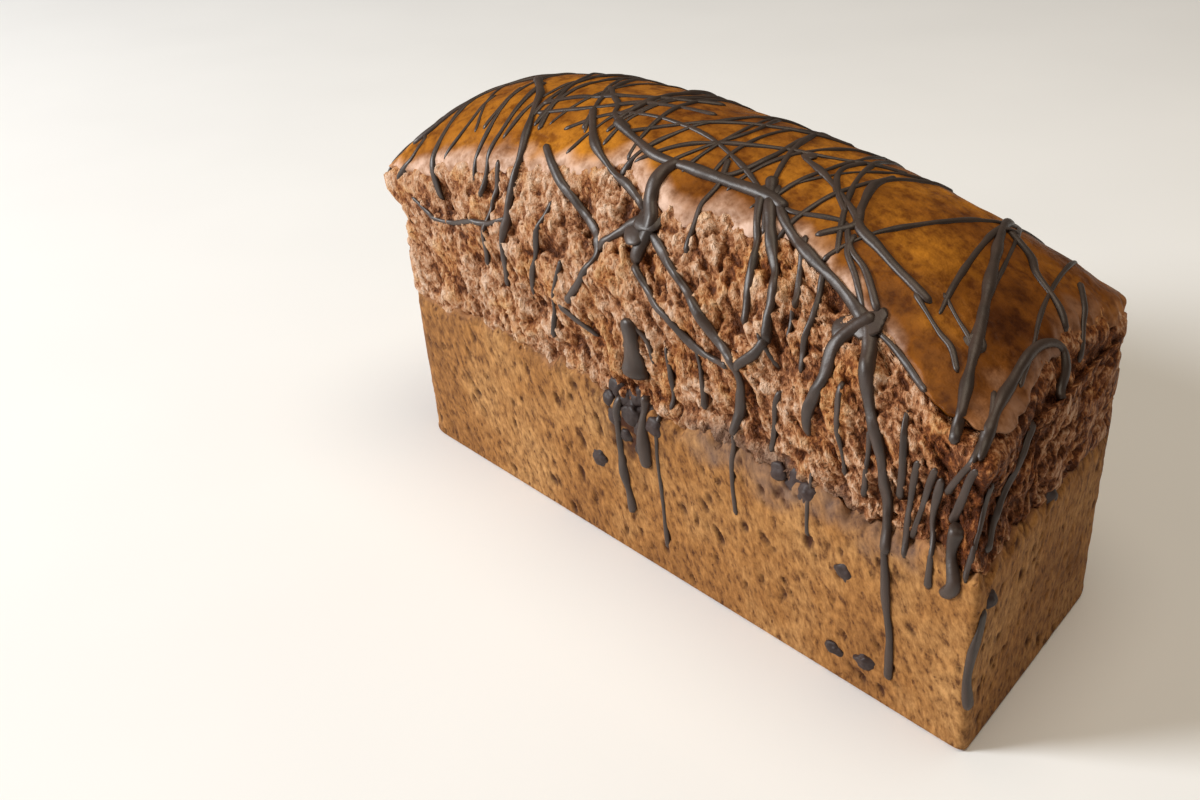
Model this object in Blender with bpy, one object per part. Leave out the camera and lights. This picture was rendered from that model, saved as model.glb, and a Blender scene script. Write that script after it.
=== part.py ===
"""Chocolate chip banana bread: one whole loaf, baked in a tin, with a thick chocolate drizzle.

The loaf stands on z = 0 with its length along X.  The long side with the wide burst faces -Y.
Places on the loaf's skin are given as (along, angle): millimetres along the loaf from its middle,
and degrees round it, 0 on the crest, 90 level with the heart of the near side, negative behind.
Past the straight stretch of the loaf, "along" bends down over the end.
"""

import bmesh
import bpy
import numpy as np
from mathutils import Matrix, Vector, noise

MM = 0.001

# The tin and the sides it formed
LENGTH = 215 * MM
WIDTH = 90 * MM
TIN_LINE = 50 * MM
SIDE_TAPER = 2.3 * MM
TAPER_HEIGHT = 76 * MM
LEFT_END_TAPER = 2 * MM
RIGHT_END_SKEW = 0.19
LEFT_OVERHANG = 11 * MM
OVERHANG_START = 70 * MM
OVERHANG_RISE = 14 * MM
CORNER_NEAR_RIGHT = 2.5 * MM
CORNER_FAR_RIGHT = 18 * MM
CORNER_NEAR_LEFT = 12 * MM
CORNER_FAR_LEFT = 14 * MM

# The risen dome: height of the crest along the loaf, and of the lip where the walls end
CREST_ALONG = np.array([-120, -100, -75, -35, 0, 40, 75, 100, 120]) * MM
CREST_HEIGHT = np.array([102, 108, 112.5, 114.5, 112.5, 106.5, 98.5, 90.5, 85]) * MM
CREST_SHIFT = -5 * MM
LIP_NEAR_LEFT = 81 * MM
LIP_NEAR_RIGHT = 75 * MM
LIP_FAR_LEFT = 80 * MM
LIP_FAR_RIGHT = 74 * MM
DOME_ACROSS = (2.1, 0.56)
DOME_LEFT_END = (8.0, 0.45)
DOME_RIGHT_END = (5.0, 0.50)
LEFT_BROW_START = 103 * MM
LEFT_BROW_RUN = 16 * MM
LEFT_BROW_DROP = 3 * MM

# The line inside the loaf from which its skin is measured
HEART_HEIGHT = 45 * MM
HEART_HALF = 65 * MM
END_TURN = 45 / 42.5

# The crust's lower edge: on the near side it runs high over the burst, and comes down at the corners
EDGE_PLACES = (
    (-105, 50), (-97, 46), (-85, 42), (-75, 38.5), (-60, 36), (-45, 32.5), (-30, 31), (-15, 25.5),
    (0, 30), (8, 32.5), (20, 28), (40, 27.5), (52, 30), (63, 35), (72, 37), (80, 42), (88, 49),
    (95, 54), (102, 57),
)
EDGE_ALONG = np.array([along for along, angle in EDGE_PLACES]) * MM
EDGE_ANGLE = np.array([angle for along, angle in EDGE_PLACES], float)
FAR_EDGE_ANGLE = -58.0
END_EDGE_HEIGHT = {-1: 68 * MM, 1: 75 * MM}
END_EDGE_ARCH = 8 * MM
CRUST_THICKNESS = 6 * MM
CRUST_ROLL = 0.8 * MM
CRUST_SETTLING = 0.5 * MM
CRUST_SWELL = 0.8 * MM
CRUST_SWELL_SIZE = 28 * MM
FAR_EDGE_WAVE = 2.0
FAR_EDGE_WAVE_RUN = 14 * MM

# The torn band between the tin line and the crust
BAND_RECESS = 1.9 * MM
BURST_SWELL = 0.9 * MM
BURST_ALONG = (0.2 * LENGTH, 0.4 * LENGTH)
BURST_ACROSS = (0, 0.3 * WIDTH)
CORNER_RECESS = 2.6 * MM
CORNER_ALONG = (0.35 * LENGTH, 0.48 * LENGTH)
CORNER_ACROSS = (-0.1 * WIDTH, 0.4 * WIDTH)
FOOT_HEIGHT = 4 * MM
KNOB_HEIGHT = 1.5 * MM
KNOB_SIZE = 11 * MM
SIDE_RIPPLE = 0.35 * MM
LEDGE_HEIGHT = 3 * MM

# How finely each piece is divided: along, across, up
CRUMB_GRID = (38, 14, 15)
TIN_ROWS = 6
CRUST_GRID = (38, 14, 3)
CRUST_CORNER = 0.3
EASING = 0.5

# Deep hollows torn in the band: along, angle, reach in mm, depth in mm
HOLLOWS = (
    (-81, 46, 5, 2.5),
    (-48, 47, 4, 2.5),
    (-22, 38, 4, 2),
    (32, 46, 5, 3.5),
    (103, 63, 8, 3),
)

# Thick strands of drizzle: width at the start and at the end in mm, then the places it passes
STRAND_STEP = 5.5 * MM
STRAND_KEEL = 3.5 * MM
STRAND_RISE = 0.5
STRAND_TIP = 0.55
STRAND_SPACING = 1 * MM
STRAND_SMOOTHING = 8
STRANDS = (
    (3.4, 4.2, ((-2, 20), (-4, 24), (-3, 30), (0, 34), (0, 38), (-1, 44))),
    (2.4, 2.4, ((-46, 27), (-39, 31), (-33, 34), (-27, 36), (-20, 39), (-16, 42), (-15, 48), (-24, 60))),
    (2.6, 2.6, ((-15, 44), (-9, 39), (-6, 36), (-1, 33))),
    (2.3, 2.3, ((-42, 14), (-30, 23), (-20, 27), (-12, 29), (-4, 32))),
    (2.0, 2.0, ((-1, 44), (5, 48), (10, 51), (15, 53), (24, 57), (35, 58))),
    (2.4, 2.6, ((1, 36), (10, 41), (20, 46), (29, 52), (36, 56), (38, 60), (37, 67), (36, 78))),
    (2.1, 2.1, ((37, 58), (40, 55), (43, 52), (45, 48))),
    (2.1, 2.1, ((24, 17), (25, 21), (31, 30), (34, 36), (37, 47))),
    (2.7, 2.7, ((22, 14), (28, 21), (35, 29), (41, 36), (44, 45), (45, 49))),
    (2.4, 2.6, ((28, 19), (36, 24), (43, 27), (55, 31), (66, 36))),
    (3.2, 2.1, ((66, 36), (69, 40), (74, 51), (80, 62), (84, 77), (86, 92))),
    (2.0, 1.7, ((85, 87), (86, 98), (86, 109), (86, 119), (84, 130))),
    (3.8, 2.3, ((67, 34), (62, 43), (62, 51), (59, 62), (58, 67))),
    (2.0, 1.8, ((66, 36), (75, 39), (85, 45))),
    (2.7, 2.4, ((58, -34), (64, -20), (75, 0), (82, 14), (87, 26), (92, 43), (94, 53))),
    (2.3, 2.0, ((64, -22), (74, -19), (80, -14), (91, -11), (97, -8))),
    (2.4, 2.4, ((99, 54), (98, 39), (98, 30), (97, 11), (100, -1), (104, 0), (108, 5), (111, 12))),
    (2.3, 2.4, ((-78, 4), (-70, 10), (-63, 16), (-53, 30), (-51, 43), (-52, 52), (-53, 64))),
    (3.0, 3.0, ((-30, 16), (-18, 19), (-8, 21), (9, 20), (24, 19), (32, 20))),
    (4.6, 6.1, ((0, 57), (1, 62), (1, 68), (1, 75))),
    (2.3, 3.4, ((-6, 85), (-6, 95), (-5, 112), (-2, 126))),
    (3.0, 3.8, ((4, 80), (4, 95), (5, 107))),
    (2.6, 2.3, ((101, 73), (101, 82), (102, 90), (100, 96))),
    (2.3, 2.1, ((108, 98), (107, 104), (103, 118), (101, 128))),
    (2.3, 2.3, ((-44, -38), (-34, -14), (-30, 16))),
    (2.3, 2.1, ((-96, 36), (-88, 12), (-84, -10), (-90, -36))),
)

# Chocolate chips that break the skin: along, angle, width in mm
CHIPS = (
    (73, 108, 7),
    (55, 85, 9),
    (-15, 116, 8),
    (69, 132, 6),
    (78, 131, 7),
    (110, 97, 7),
    (140, 60, 7),
    (-70, -104, 7),
    (24, -112, 8),
    (64, -96, 7),
    (-40, -124, 6),
    (-106, 108, 7),
)
CHIP_STAND = 1 * MM

# Edges shorter than this, which fusing leaves behind, are welded away
SLIVER = 0.001 * MM
MENDINGS = 4

CRUMB_COLOUR = (0.36, 0.17, 0.06, 1)
CRUMB_ROUGHNESS = 0.8


def clear_scene():
    for item in list(bpy.data.objects):
        bpy.data.objects.remove(item, do_unlink=True)


def smooth_step(value, start, end):
    t = np.clip((value - start) / (end - start), 0, 1)
    return t * t * (3 - 2 * t)


def curve_through(value, places, heights):
    """A smooth curve through a few points, read at value."""
    slopes = np.gradient(heights, places)
    i = np.clip(np.searchsorted(places, value) - 1, 0, len(places) - 2)
    run = places[i + 1] - places[i]
    t = np.clip((value - places[i]) / run, 0, 1)
    rest = 1 - t
    start = rest * rest * (1 + 2 * t) * heights[i] + rest * rest * t * run * slopes[i]
    end = t * t * (1 + 2 * rest) * heights[i + 1] - t * t * rest * run * slopes[i + 1]
    return start + end


def half_width(z):
    return WIDTH / 2 - SIDE_TAPER * np.clip(1 - z / TAPER_HEIGHT, 0, 1)


def end_reach(side, y, z):
    """How far the loaf reaches towards its right end (side > 0) or its left end."""
    right = LENGTH / 2 - RIGHT_END_SKEW * (y + WIDTH / 2)
    left = LENGTH / 2 - LEFT_END_TAPER * np.clip(1 - z / TAPER_HEIGHT, 0, 1)
    left = left + LEFT_OVERHANG * smooth_step(z, OVERHANG_START, OVERHANG_START + OVERHANG_RISE)
    return np.where(side > 0, right, left)


def corner_radius(x, y):
    right = np.where(y < 0, CORNER_NEAR_RIGHT, CORNER_FAR_RIGHT)
    left = np.where(y < 0, CORNER_NEAR_LEFT, CORNER_FAR_LEFT)
    return np.where(x > 0, right, left)


def outline_gap(x, y, z):
    """Below zero inside the loaf's outline at height z, above zero outside."""
    radius = corner_radius(x, y)
    past_end = np.abs(x) - end_reach(x, y, z) + radius
    past_side = np.abs(y) - half_width(z) + radius
    corner = np.hypot(past_end, past_side)
    flat = np.maximum(past_end, past_side)
    return np.where((past_end > 0) & (past_side > 0), corner, flat) - radius


def lip_height(x, y):
    right = np.clip(x / LENGTH + 0.5, 0, 1)
    far = np.clip(y / WIDTH + 0.5, 0, 1)
    near_lip = LIP_NEAR_LEFT + (LIP_NEAR_RIGHT - LIP_NEAR_LEFT) * right
    far_lip = LIP_FAR_LEFT + (LIP_FAR_RIGHT - LIP_FAR_LEFT) * right
    return near_lip + (far_lip - near_lip) * far


def fade(ratio, shape):
    """From 1 in the middle to 0 at the edge, with a steep shoulder."""
    power, shoulder = shape
    return np.clip(1 - np.clip(ratio, 0, 1) ** power, 0, 1) ** shoulder


def dome_height(x, y):
    to_side = np.where(y > CREST_SHIFT, y - CREST_SHIFT, CREST_SHIFT - y)
    side_room = np.where(y > CREST_SHIFT, WIDTH / 2 - CREST_SHIFT, WIDTH / 2 + CREST_SHIFT)
    to_end = np.abs(x) / end_reach(x, y, TAPER_HEIGHT + OVERHANG_RISE)
    along = np.where(x > 0, fade(to_end, DOME_RIGHT_END), fade(to_end, DOME_LEFT_END))
    lip = lip_height(x, y)
    rise = curve_through(x, CREST_ALONG, CREST_HEIGHT) - lip
    brow = LEFT_BROW_DROP * np.clip((-x - LEFT_BROW_START) / LEFT_BROW_RUN, 0, 1) ** 2
    return lip + np.maximum(rise * along * fade(to_side / side_room, DOME_ACROSS) - brow, 0)


def inside(points):
    x, y, z = points[..., 0], points[..., 1], points[..., 2]
    return (outline_gap(x, y, z) < 0) & (z < dome_height(x, y)) & (z > 0)


def on_skin(along, angle):
    """Points on the loaf's smooth skin, and the direction out of it from the heart."""
    along, angle = np.broadcast_arrays(np.asarray(along, float), np.asarray(angle, float))
    heart_x = np.clip(along, -HEART_HALF, HEART_HALF)
    bend = np.radians((along - heart_x) / MM * END_TURN)
    turn = np.radians(angle)
    out = np.stack([np.sin(bend), -np.sin(turn) * np.cos(bend), np.cos(turn) * np.cos(bend)], -1)
    heart = np.stack([heart_x, 0 * heart_x, HEART_HEIGHT + 0 * heart_x], -1)
    near = np.zeros(along.shape)
    far = np.full(along.shape, LENGTH)
    for _ in range(30):
        middle = (near + far) / 2
        held = inside(heart + out * middle[..., None])
        near = np.where(held, middle, near)
        far = np.where(held, far, middle)
    return heart + out * near[..., None], out


def outward(points):
    """The direction away from the heart, level below it."""
    heart = points.copy()
    heart[..., 0] = np.clip(points[..., 0], -HEART_HALF, HEART_HALF)
    heart[..., 1] = 0
    heart[..., 2] = np.minimum(points[..., 2], HEART_HEIGHT)
    away = points - heart
    return away / np.maximum(np.linalg.norm(away, axis=-1, keepdims=True), MM / 100)


def lumps(points, size):
    """Soft noise between about -1 and 1, with lumps of this size."""
    flat = points.reshape(-1, 3)
    values = [noise.noise(Vector(point / size)) for point in flat]
    return np.array(values).reshape(points.shape[:-1])


def crumb_relief(points):
    """How far the torn crumb lies from the smooth skin: recessed and knobbly above the tin line."""
    x, y, z = points[..., 0], points[..., 1], points[..., 2]
    band = smooth_step(z, TIN_LINE, TIN_LINE + LEDGE_HEIGHT)
    corner = smooth_step(x, *CORNER_ALONG) * smooth_step(-y, *CORNER_ACROSS)
    burst = smooth_step(-y, *BURST_ACROSS) * (1 - smooth_step(np.abs(x), *BURST_ALONG))
    recess = BAND_RECESS - BURST_SWELL * burst + CORNER_RECESS * corner
    torn = KNOB_HEIGHT * 2 * lumps(points, KNOB_SIZE) - recess
    foot = smooth_step(z, 0, FOOT_HEIGHT)
    formed = SIDE_RIPPLE * lumps(points, 3 * KNOB_SIZE) - SIDE_RIPPLE
    for along, angle, reach, depth in HOLLOWS:
        middle = on_skin(along * MM, angle)[0]
        away = np.linalg.norm(points - middle, axis=-1) / (reach * MM)
        torn = torn - depth * MM * np.exp(-away * away)
    return band * torn + (1 - band) * foot * formed


def near_edge_angle(along):
    return np.interp(along, EDGE_ALONG, EDGE_ANGLE)


def end_edge(angle, side):
    """How far along the skin the crust reaches over an end, found from the height of its edge."""
    height = END_EDGE_HEIGHT[side] + END_EDGE_ARCH * np.cos(np.radians(angle * 90 / EDGE_ANGLE[-1]))
    near = np.full(np.shape(angle), HEART_HALF)
    far = np.full(np.shape(angle), HEART_HALF + 60 * MM)
    for _ in range(24):
        middle = (near + far) / 2
        above = on_skin(side * middle, angle)[0][..., 2] > height
        near = np.where(above, middle, near)
        far = np.where(above, far, middle)
    return near


def box_grid(cuts):
    """A closed box from -1 to 1 whose faces are divided into a grid, with its vertices' places."""
    body = bmesh.new()
    bmesh.ops.create_cube(body, size=2)
    for axis, count in enumerate(cuts):
        edges = []
        for edge in body.edges:
            start, end = (vert.co for vert in edge.verts)
            if abs(start[axis] - end[axis]) > 1e-6:
                edges.append(edge)
        bmesh.ops.subdivide_edges(body, edges=edges, cuts=count - 1, use_grid_fill=True)
    places = np.array([vert.co[:] for vert in body.verts])
    return body, places


def place(body, points):
    for vert, point in zip(body.verts, points):
        vert.co = point
    bmesh.ops.recalc_face_normals(body, faces=body.faces)
    if body.calc_volume(signed=True) < 0:
        bmesh.ops.reverse_faces(body, faces=body.faces)


def add_object(name, body):
    mesh = bpy.data.meshes.new(name)
    body.to_mesh(mesh)
    body.free()
    item = bpy.data.objects.new(name, mesh)
    bpy.context.scene.collection.objects.link(item)
    return item


def ease(value):
    """Moves grid lines apart in the middle and closer at the edges."""
    return (1 - EASING) * value + EASING * np.sin(value * np.pi / 2)


def rounded(u, v, z):
    """The plan place of a point of the square -1 to 1, with the loaf's ends, taper and round corners."""
    reach = np.maximum(np.maximum(np.abs(u), np.abs(v)), 1e-9)
    edge_u, edge_v = u / reach, v / reach
    wide = half_width(z)
    y = edge_v * wide
    long = end_reach(edge_u, y, z)
    x = edge_u * long
    radius = corner_radius(x, y)
    centre_x = np.sign(x) * (long - radius)
    centre_y = np.sign(y) * (wide - radius)
    in_corner = (np.abs(x) > long - radius) & (np.abs(y) > wide - radius)
    from_x, from_y = x - centre_x, y - centre_y
    shrink = radius / np.maximum(np.hypot(from_x, from_y), 1e-9)
    x = np.where(in_corner, centre_x + from_x * shrink, x)
    y = np.where(in_corner, centre_y + from_y * shrink, y)
    return x * reach, y * reach


def round_square(u, v, radius):
    """Draws the corners of the square -1 to 1 in to this radius."""
    reach = np.maximum(np.maximum(np.abs(u), np.abs(v)), 1e-9)
    edge_u, edge_v = u / reach, v / reach
    from_u = np.maximum(np.abs(edge_u) - 1 + radius, 0)
    from_v = np.maximum(np.abs(edge_v) - 1 + radius, 0)
    shrink = radius / np.maximum(np.hypot(from_u, from_v), radius)
    in_corner = (from_u > 0) & (from_v > 0)
    round_u = np.sign(u) * (1 - radius + from_u * shrink)
    round_v = np.sign(v) * (1 - radius + from_v * shrink)
    return np.where(in_corner, round_u * reach, u), np.where(in_corner, round_v * reach, v)


def crumb_body():
    """The loaf under its crust: flat base, tin-formed sides, ledge, torn band and dome."""
    body, places = box_grid(CRUMB_GRID)
    u, v, w = ease(places[:, 0]), ease(places[:, 1]), places[:, 2]
    row = (w + 1) / 2 * CRUMB_GRID[2]
    lip_x, lip_y = rounded(u, v, TAPER_HEIGHT)
    lip = dome_height(lip_x, lip_y)
    ledge = TIN_LINE + LEDGE_HEIGHT
    above = (row - TIN_ROWS - 1) / (CRUMB_GRID[2] - TIN_ROWS - 1)
    z = np.where(row <= TIN_ROWS, row / TIN_ROWS * TIN_LINE, ledge + above * (lip - ledge))
    x, y = rounded(u, v, z)
    top = w > 1 - 1e-6
    z = np.where(top, dome_height(x, y), z)
    points = np.stack([x, y, z], -1)
    points = points + outward(points) * crumb_relief(points)[:, None]
    points[w < -1 + 1e-6, 2] = 0
    place(body, points)
    base = [face for face in body.faces if all(vert.co.z < 1e-6 for vert in face.verts)]
    edges = {edge for face in base for edge in face.edges if all(f in base for f in edge.link_faces)}
    bmesh.ops.dissolve_edges(body, edges=list(edges), use_verts=True)
    return add_object("loaf", body)


def crust_cap():
    """The baked crust: a shell over the dome whose edge stands a little proud of the torn band."""
    body, places = box_grid(CRUST_GRID)
    u, v, w = places.T
    edge = np.maximum(np.abs(u), np.abs(v))
    u, v = round_square(u, ease(v), CRUST_CORNER)
    rough = np.interp(u, (-1, 1), (-LENGTH / 2, LENGTH / 2))
    far_angle = FAR_EDGE_ANGLE + FAR_EDGE_WAVE * np.sin(rough / FAR_EDGE_WAVE_RUN)
    near_angle = near_edge_angle(rough)
    angle = far_angle + (near_angle - far_angle) * (1 - v) / 2
    left, right = end_edge(angle, -1), end_edge(angle, 1)
    along = -left + (left + right) * (ease(u) + 1) / 2
    skin, out = on_skin(along, angle)
    depth = (1 - w) / 2
    roll = CRUST_ROLL * smooth_step(edge, 0.8, 1) * smooth_step(depth, 1, 0.3)
    lift = roll - CRUST_THICKNESS * depth - CRUST_SETTLING * (1 - smooth_step(edge, 0.5, 0.9))
    swell = CRUST_SWELL * lumps(skin, CRUST_SWELL_SIZE)
    place(body, skin + out * (lift + swell)[:, None])
    return add_object("crust", body)


def resting_place(along, angle):
    """Where something lies on the loaf: on the crust, or in the recess of the torn band."""
    skin, out = on_skin(along, angle)
    edge = near_edge_angle(along)
    torn = smooth_step(angle, edge - 1, edge + 3)
    return skin + out * (crumb_relief(skin) * torn)[..., None], out


def centre_line(places):
    """Points at even steps along a strand, smoothed, and the directions out of the skin there."""
    route = np.array(places, float)
    knots = np.arange(len(route))
    at = np.linspace(0, len(route) - 1, 20 * len(route))
    along = curve_through(at, knots, route[:, 0]) * MM
    line, out = resting_place(along, curve_through(at, knots, route[:, 1]))
    run = np.append(0, np.cumsum(np.linalg.norm(np.diff(line, axis=0), axis=1)))
    even = np.linspace(0, run[-1], max(5, round(run[-1] / STRAND_SPACING)))
    line = np.stack([np.interp(even, run, line[:, i]) for i in range(3)], -1)
    out = np.stack([np.interp(even, run, out[:, i]) for i in range(3)], -1)
    for _ in range(STRAND_SMOOTHING):
        line[1:-1] = (line[:-2] + 2 * line[1:-1] + line[2:]) / 4
    return line, out, run[-1]


def strand(start_width, end_width, places):
    """One strand of drizzle: an arched ribbon that follows the skin, with a keel sunk into the loaf."""
    line, out, length = centre_line(places)
    steps = max(2, round(length / STRAND_STEP))
    body, grid = box_grid((steps, 2, 1))
    t = (grid[:, 0] + 1) / 2
    knots = np.linspace(0, 1, len(line))
    heading = np.gradient(line, axis=0)
    middle, out, heading = (
        np.stack([np.interp(t, knots, values[:, i]) for i in range(3)], -1)
        for values in (line, out, heading)
    )
    across = np.cross(heading, out)
    across = across / np.linalg.norm(across, axis=1, keepdims=True)
    from_end = (1 - np.abs(grid[:, 0])) * length
    taper = STRAND_TIP + (1 - STRAND_TIP) * smooth_step(from_end, 0, 2 * start_width * MM)
    half = (start_width + (end_width - start_width) * t) * MM / 2 * taper
    arch = STRAND_RISE * 2 * half * (1 - np.abs(grid[:, 1]))
    lift = np.where(grid[:, 2] > 0, arch, -STRAND_KEEL)
    place(body, middle + across * (half * grid[:, 1])[:, None] + out * lift[:, None])
    return add_object("strand", body)


def chip(along, angle, width):
    """A chocolate chip that breaks the skin, as a low rounded lump."""
    middle, out = resting_place(np.array([along * MM]), np.array([angle], float))
    body = bmesh.new()
    bmesh.ops.create_icosphere(body, subdivisions=2, radius=width * MM / 2)
    sink = out[0] * (CHIP_STAND - width * MM / 2)
    bmesh.ops.translate(body, verts=body.verts, vec=middle[0] + sink)
    return add_object("chip", body)


def shells(body):
    """The separate closed surfaces of a mesh, as lists of faces."""
    left = set(body.faces)
    found = []
    while left:
        shell = [left.pop()]
        for face in shell:
            for edge in face.edges:
                beside = edge.link_faces if len(edge.link_faces) == 2 else ()
                for other in beside:
                    if other in left:
                        left.remove(other)
                        shell.append(other)
        found.append(shell)
    return found


def torn_edges(body):
    return [edge for edge in body.edges if edge.link_faces and len(edge.link_faces) != 2]


def mend(body):
    """Takes out the faces round an edge that isn't shared by two of them, and closes the gap again."""
    ends = {vert for edge in torn_edges(body) for vert in edge.verts}
    around = {face for vert in ends for face in vert.link_faces}
    bmesh.ops.delete(body, geom=list(around), context="FACES")
    rim = [edge for edge in body.edges if len(edge.link_faces) == 1]
    bmesh.ops.holes_fill(body, edges=rim, sides=0)
    bmesh.ops.triangulate(body, faces=body.faces)


def keep_largest_shell(mesh):
    """Welds slivers, mends tears, fills the hollows that fusing sealed and drops loose scraps."""
    body = bmesh.new()
    body.from_mesh(mesh)
    bmesh.ops.triangulate(body, faces=body.faces)
    bmesh.ops.remove_doubles(body, verts=body.verts, dist=SLIVER)
    bmesh.ops.dissolve_degenerate(body, edges=body.edges, dist=SLIVER)
    for _ in range(MENDINGS):
        if torn_edges(body):
            mend(body)
    for shell in sorted(shells(body), key=len)[:-1]:
        bmesh.ops.delete(body, geom=shell, context="FACES")
    loose = [vert for vert in body.verts if not vert.link_faces]
    bmesh.ops.delete(body, geom=loose, context="VERTS")
    bmesh.ops.recalc_face_normals(body, faces=body.faces)
    body.to_mesh(mesh)
    body.free()


def centre(mesh):
    """Moves the loaf so that the middle of its outline in plan stands on the origin."""
    points = np.array([vert.co[:] for vert in mesh.vertices])
    middle = (points.min(axis=0) + points.max(axis=0)) / 2
    mesh.transform(Matrix.Translation((-middle[0], -middle[1], 0)))


def fuse(item, others):
    """One union of the whole collection into the item; the collection's objects then go."""
    group = bpy.data.collections.new("fused")
    bpy.context.scene.collection.children.link(group)
    for other in others:
        bpy.context.scene.collection.objects.unlink(other)
        group.objects.link(other)
    union = item.modifiers.new("union", "BOOLEAN")
    union.operation = "UNION"
    union.operand_type = "COLLECTION"
    union.collection = group
    union.solver = "MANIFOLD"
    graph = bpy.context.evaluated_depsgraph_get()
    mesh = bpy.data.meshes.new_from_object(item.evaluated_get(graph))
    item.modifiers.clear()
    item.data = mesh
    keep_largest_shell(mesh)
    for other in others:
        bpy.data.objects.remove(other, do_unlink=True)
    bpy.data.collections.remove(group)


def material(name, colour, roughness):
    finish = bpy.data.materials.new(name)
    finish.use_nodes = True
    shader = finish.node_tree.nodes["Principled BSDF"]
    shader.inputs["Base Color"].default_value = colour
    shader.inputs["Roughness"].default_value = roughness
    return finish


def build():
    clear_scene()
    loaf = crumb_body()
    toppings = [crust_cap()]
    toppings += [strand(*row) for row in STRANDS]
    toppings += [chip(*row) for row in CHIPS]
    fuse(loaf, toppings)
    centre(loaf.data)
    loaf.data.materials.clear()
    loaf.data.materials.append(material("banana bread crust", CRUMB_COLOUR, CRUMB_ROUGHNESS))
    loaf.data.shade_smooth()
    loaf.data.set_sharp_from_angle(angle=np.radians(40))


build()
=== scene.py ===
"""A whole chocolate chip banana bread on a pale floor, as it is put together: crumb, crust, chips, drizzle.

Places on the loaf's skin are given as (along, angle): millimetres along the loaf from its middle, and
degrees round it, 0 on the crest, 90 level with the heart of the near side, negative behind.
"""

import bmesh
import bpy
import numpy as np
from mathutils import Matrix, Vector, noise
from mathutils.bvhtree import BVHTree


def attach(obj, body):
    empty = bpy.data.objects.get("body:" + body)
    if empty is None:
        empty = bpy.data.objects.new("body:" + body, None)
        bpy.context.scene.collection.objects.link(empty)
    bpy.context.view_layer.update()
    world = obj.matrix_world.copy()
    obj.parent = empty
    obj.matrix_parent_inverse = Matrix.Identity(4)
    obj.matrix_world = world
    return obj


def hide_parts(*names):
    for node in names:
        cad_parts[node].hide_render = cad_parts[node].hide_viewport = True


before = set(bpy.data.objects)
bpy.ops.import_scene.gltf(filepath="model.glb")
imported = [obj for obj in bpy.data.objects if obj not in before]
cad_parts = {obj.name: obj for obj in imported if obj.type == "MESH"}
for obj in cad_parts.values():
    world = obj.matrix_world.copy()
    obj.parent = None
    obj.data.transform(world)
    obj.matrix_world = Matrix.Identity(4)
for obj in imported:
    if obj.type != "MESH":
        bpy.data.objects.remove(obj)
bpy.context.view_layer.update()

# The lower crumb is batter that set against the walls of the tin: flat, closed and golden brown,
# pricked with small holes, and it ends in a ledge where the batter rose over the wall.
MM = 0.001
PLAN_SHIFT = np.array([5.5, 0.386, 0]) * MM
LENGTH = 215 * MM
WIDTH = 90 * MM
TIN_LINE = 50 * MM
SIDE_TAPER = 2.3 * MM
TAPER_HEIGHT = 76 * MM
LEFT_END_TAPER = 2 * MM
RIGHT_END_SKEW = 0.19
LEFT_OVERHANG = 11 * MM
OVERHANG_START = 70 * MM
OVERHANG_RISE = 14 * MM
CORNER_NEAR_RIGHT = 2.5 * MM
CORNER_FAR_RIGHT = 18 * MM
CORNER_NEAR_LEFT = 12 * MM
CORNER_FAR_LEFT = 14 * MM
HEART_HEIGHT = 45 * MM
HEART_HALF = 65 * MM


def smooth_step(value, start, end):
    t = np.clip((value - start) / (end - start), 0, 1)
    return t * t * (3 - 2 * t)


def half_width(z):
    return WIDTH / 2 - SIDE_TAPER * np.clip(1 - z / TAPER_HEIGHT, 0, 1)


def end_reach(side, y, z):
    """How far the loaf reaches towards its right end (side > 0) or its left end."""
    right = LENGTH / 2 - RIGHT_END_SKEW * (y + WIDTH / 2)
    left = LENGTH / 2 - LEFT_END_TAPER * np.clip(1 - z / TAPER_HEIGHT, 0, 1)
    left = left + LEFT_OVERHANG * smooth_step(z, OVERHANG_START, OVERHANG_START + OVERHANG_RISE)
    return np.where(side > 0, right, left)


def corner_radius(x, y):
    right = np.where(y < 0, CORNER_NEAR_RIGHT, CORNER_FAR_RIGHT)
    left = np.where(y < 0, CORNER_NEAR_LEFT, CORNER_FAR_LEFT)
    return np.where(x > 0, right, left)


def rounded(u, v, z):
    """The plan place of a point of the square -1 to 1, with the loaf's ends, taper and round corners."""
    reach = np.maximum(np.maximum(np.abs(u), np.abs(v)), 1e-9)
    edge_u, edge_v = u / reach, v / reach
    wide = half_width(z)
    y = edge_v * wide
    long = end_reach(edge_u, y, z)
    x = edge_u * long
    radius = corner_radius(x, y)
    centre_x = np.sign(x) * (long - radius)
    centre_y = np.sign(y) * (wide - radius)
    in_corner = (np.abs(x) > long - radius) & (np.abs(y) > wide - radius)
    from_x, from_y = x - centre_x, y - centre_y
    shrink = radius / np.maximum(np.hypot(from_x, from_y), 1e-9)
    x = np.where(in_corner, centre_x + from_x * shrink, x)
    y = np.where(in_corner, centre_y + from_y * shrink, y)
    return x * reach, y * reach


def round_the_square(turn):
    """The point of the square -1 to 1 that lies this share of the way round the loaf's outline."""
    sides = np.array([LENGTH, WIDTH, LENGTH, WIDTH])
    ends = np.append(0, np.cumsum(sides)) / sides.sum()
    side = np.clip(np.searchsorted(ends, turn, side="right") - 1, 0, 3)
    run = 2 * (turn - ends[side]) / (ends[side + 1] - ends[side]) - 1
    u = np.choose(side, (run, 1 + 0 * run, -run, -1 + 0 * run))
    v = np.choose(side, (-1 + 0 * run, run, 1 + 0 * run, -run))
    return u, v


# How much finer the rings of faces are on the near side, and where round the loaf its middle lies
NEAR_SIDE_CROWDING = 0.3
NEAR_SIDE_MIDDLE = LENGTH / (4 * (LENGTH + WIDTH))


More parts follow.
